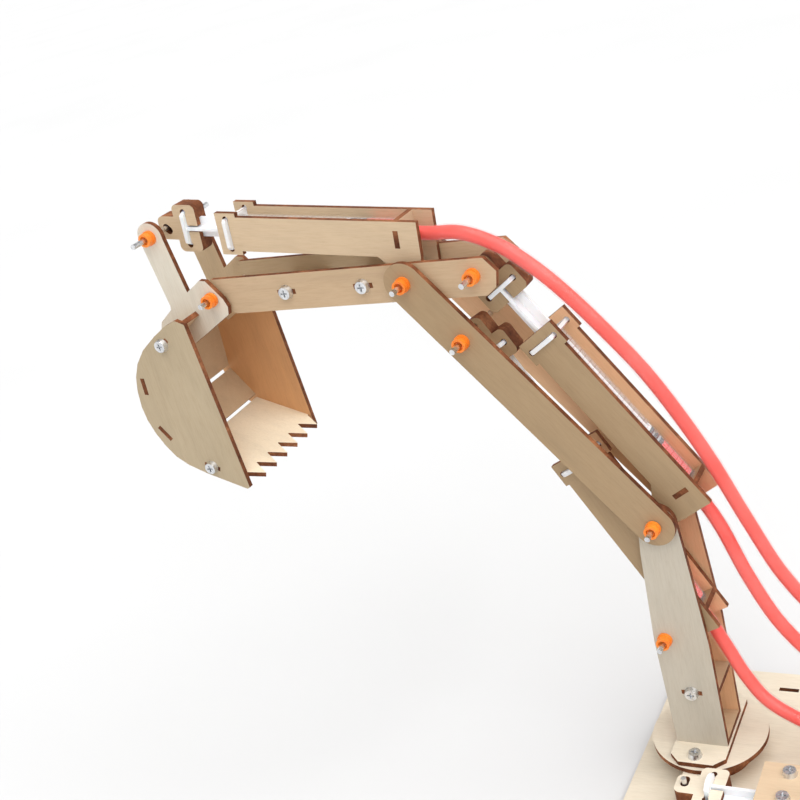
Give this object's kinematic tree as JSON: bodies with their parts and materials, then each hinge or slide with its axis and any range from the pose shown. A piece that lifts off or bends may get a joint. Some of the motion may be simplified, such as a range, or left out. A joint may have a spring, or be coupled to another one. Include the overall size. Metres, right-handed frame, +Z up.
{
  "type": "hydraulic arm kit",
  "caption": "Plywood model digger arm on a slewing base, moved by slave syringes that clear tubes join to hand-pushed master syringes in a rack.",
  "frame": {"origin": "on the slew axis, in the base board's underside, which is the table's surface", "axes": "+Z up along the slew axis; +X from the turntable towards the master syringe rack, so the bucket points towards -X at rest; +Y completes the right-handed frame"},
  "size_m": [0.4645, 0.11, 0.2469],
  "materials": {
    "plywood": "laser-cut birch plywood with scorched edges",
    "steel": "bright zinc",
    "bush_orange": "soft orange plastic",
    "barrel_clear": "clear moulded plastic",
    "plunger_white": "translucent white moulded plastic with a dark seal",
    "fluid_tube": "clear tube filled with red dyed water"
  },
  "bodies": {
    "base": {"base_board": "plywood", "slew_boss": "plywood", "slew_pin": "steel", "swing_bracket": "plywood", "swing_end_plate": "plywood", "swing_barrel": "barrel_clear", "swing_screws": "steel", "rack_front": "plywood", "rack_rear": "plywood", "rack_sides": "plywood", "rack_barrels": "barrel_clear", "tube_bucket": "fluid_tube", "tube_stick": "fluid_tube", "tube_boom": "fluid_tube", "tube_swing": "fluid_tube"},
    "turntable": {"turn_disc": "plywood", "turn_crank": "plywood", "foot_plate": "plywood", "column_plates": "plywood", "column_panels": "plywood", "column_screws": "steel", "column_pins": "steel", "column_bushes": "bush_orange"},
    "boom": {"boom_plates": "plywood", "boom_pins": "steel", "boom_bushes": "bush_orange"},
    "stick": {"stick_plates": "plywood", "stick_panels": "plywood", "stick_screws": "steel", "stick_pins": "steel", "stick_bushes": "bush_orange"},
    "bucket": {"bucket_sides": "plywood", "bucket_panels": "plywood", "bucket_lip": "plywood", "levers": "plywood", "bucket_screws": "steel", "lever_pin": "steel", "lever_bushes": "bush_orange"},
    "boom_cylinder": {"boom_bracket": "plywood", "boom_end_plate": "plywood", "boom_barrel": "barrel_clear"},
    "stick_cylinder": {"stick_bracket": "plywood", "stick_end_plate": "plywood", "stick_barrel": "barrel_clear"},
    "bucket_cylinder": {"bucket_bracket": "plywood", "bucket_end_plate": "plywood", "bucket_barrel": "barrel_clear"},
    "boom_rod": {"boom_plunger": "plunger_white", "boom_clevis": "plywood"},
    "stick_rod": {"stick_plunger": "plunger_white", "stick_clevis": "plywood"},
    "bucket_rod": {"bucket_plunger": "plunger_white", "bucket_clevis": "plywood"},
    "swing_rod": {"swing_plunger": "plunger_white", "swing_clevis": "plywood"},
    "master_boom_rod": {"master_boom": "plunger_white"},
    "master_stick_rod": {"master_stick": "plunger_white"},
    "master_bucket_rod": {"master_bucket": "plunger_white"},
    "master_swing_rod": {"master_swing": "plunger_white"}
  },
  "joints": [
    {"name": "slew", "type": "hinge", "parent": "base", "child": "turntable", "pos_m": [0, 0, 0.0153], "axis": [0, 0, 1], "range_deg": [-20, 20], "deforming": ["tube_bucket", "tube_stick", "tube_boom"]},
    {"name": "boom_lift", "type": "hinge", "parent": "turntable", "child": "boom", "pos_m": [0, 0, 0.1158], "axis": [0, -1, 0], "range_deg": [-6, 30]},
    {"name": "stick_swing", "type": "hinge", "parent": "boom", "child": "stick", "pos_m": [-0.07218, 0, 0.21229], "axis": [0, -1, 0], "range_deg": [-8, 20]},
    {"name": "bucket_curl", "type": "hinge", "parent": "stick", "child": "bucket", "pos_m": [-0.15588, 0, 0.21229], "axis": [0, -1, 0], "range_deg": [-20, 20]},
    {"name": "boom_cylinder_tilt", "type": "hinge", "parent": "turntable", "child": "boom_cylinder", "pos_m": [-0.006, 0, 0.0646], "axis": [0, -1, 0], "range_deg": [-4.28, 21.19]},
    {"name": "boom_rod_slide", "type": "slide", "parent": "boom_cylinder", "child": "boom_rod", "axis": [-0.4594, 0, 0.8882], "range_m": [-0.01615, 0.00326]},
    {"name": "stick_cylinder_tilt", "type": "hinge", "parent": "boom", "child": "stick_cylinder", "pos_m": [0, 0, 0.1158], "axis": [0, -1, 0], "range_deg": [-2.11, 0.85]},
    {"name": "stick_rod_slide", "type": "slide", "parent": "stick_cylinder", "child": "stick_rod", "axis": [-0.5457, 0, 0.838], "range_m": [-0.0034, 0.00846]},
    {"name": "bucket_cylinder_tilt", "type": "hinge", "parent": "stick", "child": "bucket_cylinder", "pos_m": [-0.07218, 0, 0.21229], "axis": [0, -1, 0], "range_deg": [-4.12, 4.12]},
    {"name": "bucket_rod_slide", "type": "slide", "parent": "bucket_cylinder", "child": "bucket_rod", "axis": [-0.9928, 0, 0.12], "range_m": [-0.00725, 0.00725]},
    {"name": "swing_rod_slide", "type": "slide", "parent": "base", "child": "swing_rod", "axis": [1, 0, 0], "range_m": [-0.01167, 0.01167]},
    {"name": "master_boom_slide", "type": "slide", "parent": "base", "child": "master_boom_rod", "axis": [1, 0, 0], "range_m": [-0.00326, 0.01615]},
    {"name": "master_stick_slide", "type": "slide", "parent": "base", "child": "master_stick_rod", "axis": [1, 0, 0], "range_m": [-0.00846, 0.0034]},
    {"name": "master_bucket_slide", "type": "slide", "parent": "base", "child": "master_bucket_rod", "axis": [1, 0, 0], "range_m": [-0.00725, 0.00725]},
    {"name": "master_swing_slide", "type": "slide", "parent": "base", "child": "master_swing_rod", "axis": [1, 0, 0], "range_m": [-0.01167, 0.01167]}
  ],
  "couplings": [
    {"joint": "boom_cylinder_tilt", "follows": "boom_lift", "ratio": 0.70453},
    {"joint": "boom_rod_slide", "follows": "boom_lift", "m_per_rad": -0.030773},
    {"joint": "stick_cylinder_tilt", "follows": "stick_swing", "ratio": -0.10526},
    {"joint": "stick_rod_slide", "follows": "stick_swing", "m_per_rad": 0.024162},
    {"joint": "bucket_cylinder_tilt", "follows": "bucket_curl", "ratio": 0.20493},
    {"joint": "bucket_rod_slide", "follows": "bucket_curl", "m_per_rad": 0.020692},
    {"joint": "swing_rod_slide", "follows": "slew", "m_per_rad": 0.033314},
    {"joint": "master_boom_slide", "follows": "boom_lift", "m_per_rad": 0.030773},
    {"joint": "master_stick_slide", "follows": "stick_swing", "m_per_rad": -0.024162},
    {"joint": "master_bucket_slide", "follows": "bucket_curl", "m_per_rad": -0.020692},
    {"joint": "master_swing_slide", "follows": "slew", "m_per_rad": 0.033314}
  ]
}
